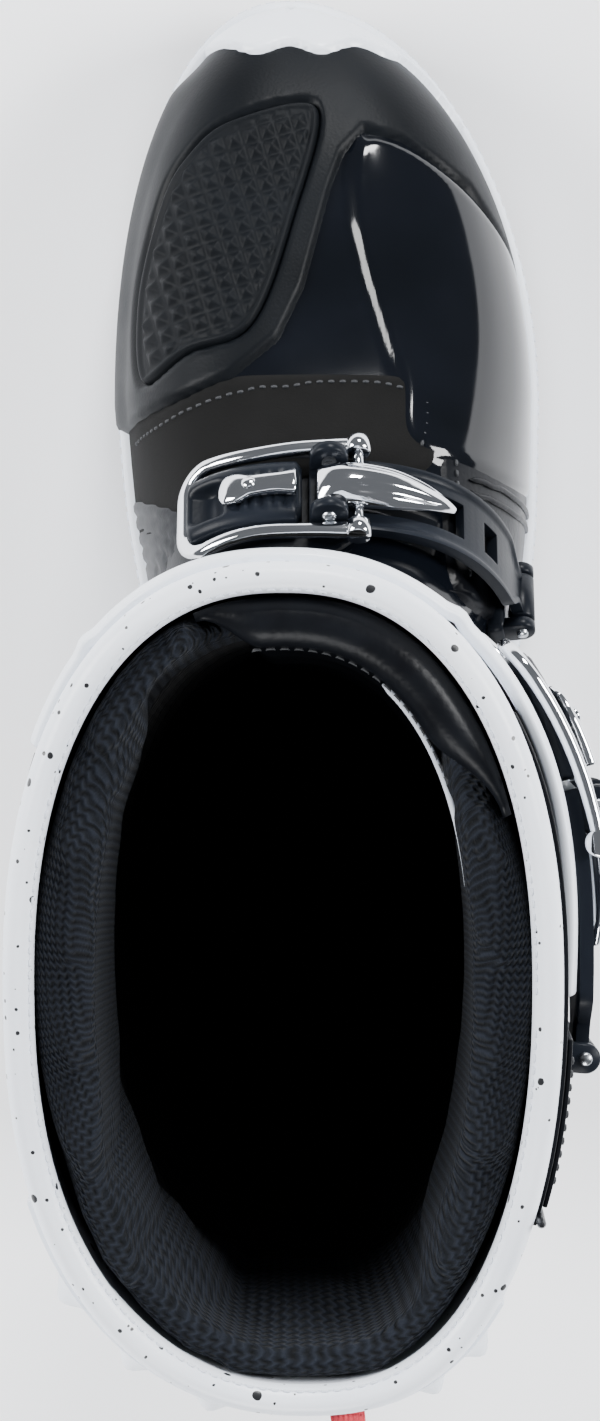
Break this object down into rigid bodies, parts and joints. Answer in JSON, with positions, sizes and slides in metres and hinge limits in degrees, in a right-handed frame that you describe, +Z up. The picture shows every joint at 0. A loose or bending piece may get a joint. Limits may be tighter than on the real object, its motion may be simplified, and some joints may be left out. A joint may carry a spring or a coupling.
{
  "type": "off-road motorcycle boot",
  "caption": "Tall right-foot riding boot with moulded armour plates, hinged ankle, padded lining and lever-and-bail buckles down the outer side.",
  "frame": {"origin": "on the ground under the middle of the boot's bounding box", "axes": "+Y towards the toe, +X towards the outer side of the right foot, +Z up"},
  "size_m": [0.1444, 0.3696, 0.3799],
  "materials": {
    "outsole_rubber": "moulded, matt",
    "midsole_white": "satin",
    "plain_steel": "brushed",
    "guard_white": "semi-gloss",
    "vamp_gloss": "high gloss",
    "board_grey": "matt",
    "footbed_foam": "cloth-faced foam",
    "lining_knit": "knitted, matt",
    "overlay_rubber": "satin",
    "pad_rubber": "moulded grid, satin",
    "microfibre_black": "sueded, matt",
    "satin_black": "satin",
    "plate_white": "semi-gloss",
    "collar_white": "fine grain, black flecks",
    "grip_rubber": "ribbed, matt",
    "flap_black": "smooth, satin",
    "strap_black": "satin",
    "buckle_chrome": "polished",
    "tab_red": "woven tape"
  },
  "bodies": {
    "foot": {"outsole": "outsole_rubber", "midsole": "midsole_white", "shank": "plain_steel", "toe_guard": "guard_white", "vamp_shell": "vamp_gloss", "insole_board": "board_grey", "footbed": "footbed_foam", "foot_lining": "lining_knit", "shift_overlay": "overlay_rubber", "shift_pad": "pad_rubber", "instep_panel": "microfibre_black", "heel_counter": "satin_black", "pivot_screw_outer": "plain_steel", "pivot_screw_inner": "plain_steel", "instep_saddle": "satin_black", "instep_catch": "strap_black", "instep_keeper": "buckle_chrome", "instep_bracket": "strap_black", "instep_hinge_pin": "plain_steel"},
    "leg": {"ankle_bellows": "microfibre_black", "gaiter_shell": "microfibre_black", "collar": "collar_white", "cuff_lining": "lining_knit", "tongue_pad": "flap_black", "shin_plate": "plate_white", "calf_plate": "plate_white", "inner_grip_panel": "grip_rubber", "outer_panel": "satin_black", "closure_flap": "flap_black", "pull_tab": "tab_red", "pivot_arm_outer": "plate_white", "pivot_arm_inner": "plate_white", "ankle_catch": "strap_black", "ankle_keeper": "buckle_chrome", "ankle_bracket": "strap_black", "ankle_hinge_pin": "plain_steel", "shin_catch": "strap_black", "shin_keeper": "buckle_chrome", "shin_bracket": "strap_black", "shin_hinge_pin": "plain_steel", "calf_catch": "strap_black", "calf_keeper": "buckle_chrome", "calf_bracket": "strap_black", "calf_hinge_pin": "plain_steel"},
    "instep_arm": {"instep_arm": "strap_black", "instep_lever_pin": "plain_steel"},
    "instep_lever": {"instep_lever": "buckle_chrome"},
    "instep_bail": {"instep_bail": "buckle_chrome"},
    "ankle_arm": {"ankle_arm": "strap_black", "ankle_lever_pin": "plain_steel"},
    "ankle_lever": {"ankle_lever": "buckle_chrome"},
    "ankle_bail": {"ankle_bail": "buckle_chrome"},
    "shin_arm": {"shin_arm": "strap_black", "shin_lever_pin": "plain_steel"},
    "shin_lever": {"shin_lever": "buckle_chrome"},
    "shin_bail": {"shin_bail": "buckle_chrome"},
    "calf_arm": {"calf_arm": "strap_black", "calf_lever_pin": "plain_steel"},
    "calf_lever": {"calf_lever": "buckle_chrome"},
    "calf_bail": {"calf_bail": "buckle_chrome"}
  },
  "joints": [
    {"name": "ankle_flex", "type": "hinge", "parent": "foot", "child": "leg", "pos_m": [-0.00794, -0.06022, 0.098], "axis": [-1, 0, 0], "range_deg": [-8, 18], "stiffness_Nm_per_rad": 15, "deforming": ["ankle_bellows"]},
    {"name": "instep_arm_swing", "type": "hinge", "parent": "foot", "child": "instep_arm", "pos_m": [0.05799, 0.01255, 0.07416], "axis": [0, 0.809, -0.5878], "range_deg": [0, 45]},
    {"name": "instep_lever_turn", "type": "hinge", "parent": "instep_arm", "child": "instep_lever", "pos_m": [0.00398, 0.04341, 0.11663], "axis": [0, -0.809, 0.5878], "range_deg": [0, 112]},
    {"name": "instep_bail_turn", "type": "hinge", "parent": "instep_lever", "child": "instep_bail", "pos_m": [0.01195, 0.04234, 0.11516], "axis": [0, -0.809, 0.5878], "range_deg": [-130, 0]},
    {"name": "ankle_arm_swing", "type": "hinge", "parent": "leg", "child": "ankle_arm", "pos_m": [0.05366, -0.09279, 0.18546], "axis": [-0.0737, 0.083, -0.9938], "range_deg": [0, 45]},
    {"name": "ankle_lever_turn", "type": "hinge", "parent": "ankle_arm", "child": "ankle_lever", "pos_m": [0.05813, -0.03281, 0.19013], "axis": [0.0737, -0.083, 0.9938], "range_deg": [0, 112]},
    {"name": "ankle_bail_turn", "type": "hinge", "parent": "ankle_lever", "child": "ankle_bail", "pos_m": [0.05818, -0.04098, 0.18945], "axis": [0.0737, -0.083, 0.9938], "range_deg": [-130, 0]},
    {"name": "shin_arm_swing", "type": "hinge", "parent": "leg", "child": "shin_arm", "pos_m": [0.05868, -0.0962, 0.2416], "axis": [-0.0717, 0.0745, -0.9946], "range_deg": [0, 45]},
    {"name": "shin_lever_turn", "type": "hinge", "parent": "shin_arm", "child": "shin_lever", "pos_m": [0.06223, -0.0364, 0.24582], "axis": [0.0717, -0.0745, 0.9946], "range_deg": [0, 112]},
    {"name": "shin_bail_turn", "type": "hinge", "parent": "shin_lever", "child": "shin_bail", "pos_m": [0.0622, -0.04448, 0.24522], "axis": [0.0717, -0.0745, 0.9946], "range_deg": [-130, 0]},
    {"name": "calf_arm_swing", "type": "hinge", "parent": "leg", "child": "calf_arm", "pos_m": [0.06306, -0.09972, 0.29945], "axis": [-0.0434, 0.0717, -0.9965], "range_deg": [0, 45]},
    {"name": "calf_lever_turn", "type": "hinge", "parent": "calf_arm", "child": "calf_lever", "pos_m": [0.06582, -0.04009, 0.30362], "axis": [0.0434, -0.0717, 0.9965], "range_deg": [0, 112]},
    {"name": "calf_bail_turn", "type": "hinge", "parent": "calf_lever", "child": "calf_bail", "pos_m": [0.06576, -0.04811, 0.30305], "axis": [0.0434, -0.0717, 0.9965], "range_deg": [-130, 0]}
  ],
  "couplings": [
    {"joint": "instep_bail_turn", "follows": "instep_lever_turn", "ratio": -1.15},
    {"joint": "ankle_bail_turn", "follows": "ankle_lever_turn", "ratio": -1.15},
    {"joint": "shin_bail_turn", "follows": "shin_lever_turn", "ratio": -1.15},
    {"joint": "calf_bail_turn", "follows": "calf_lever_turn", "ratio": -1.15}
  ]
}
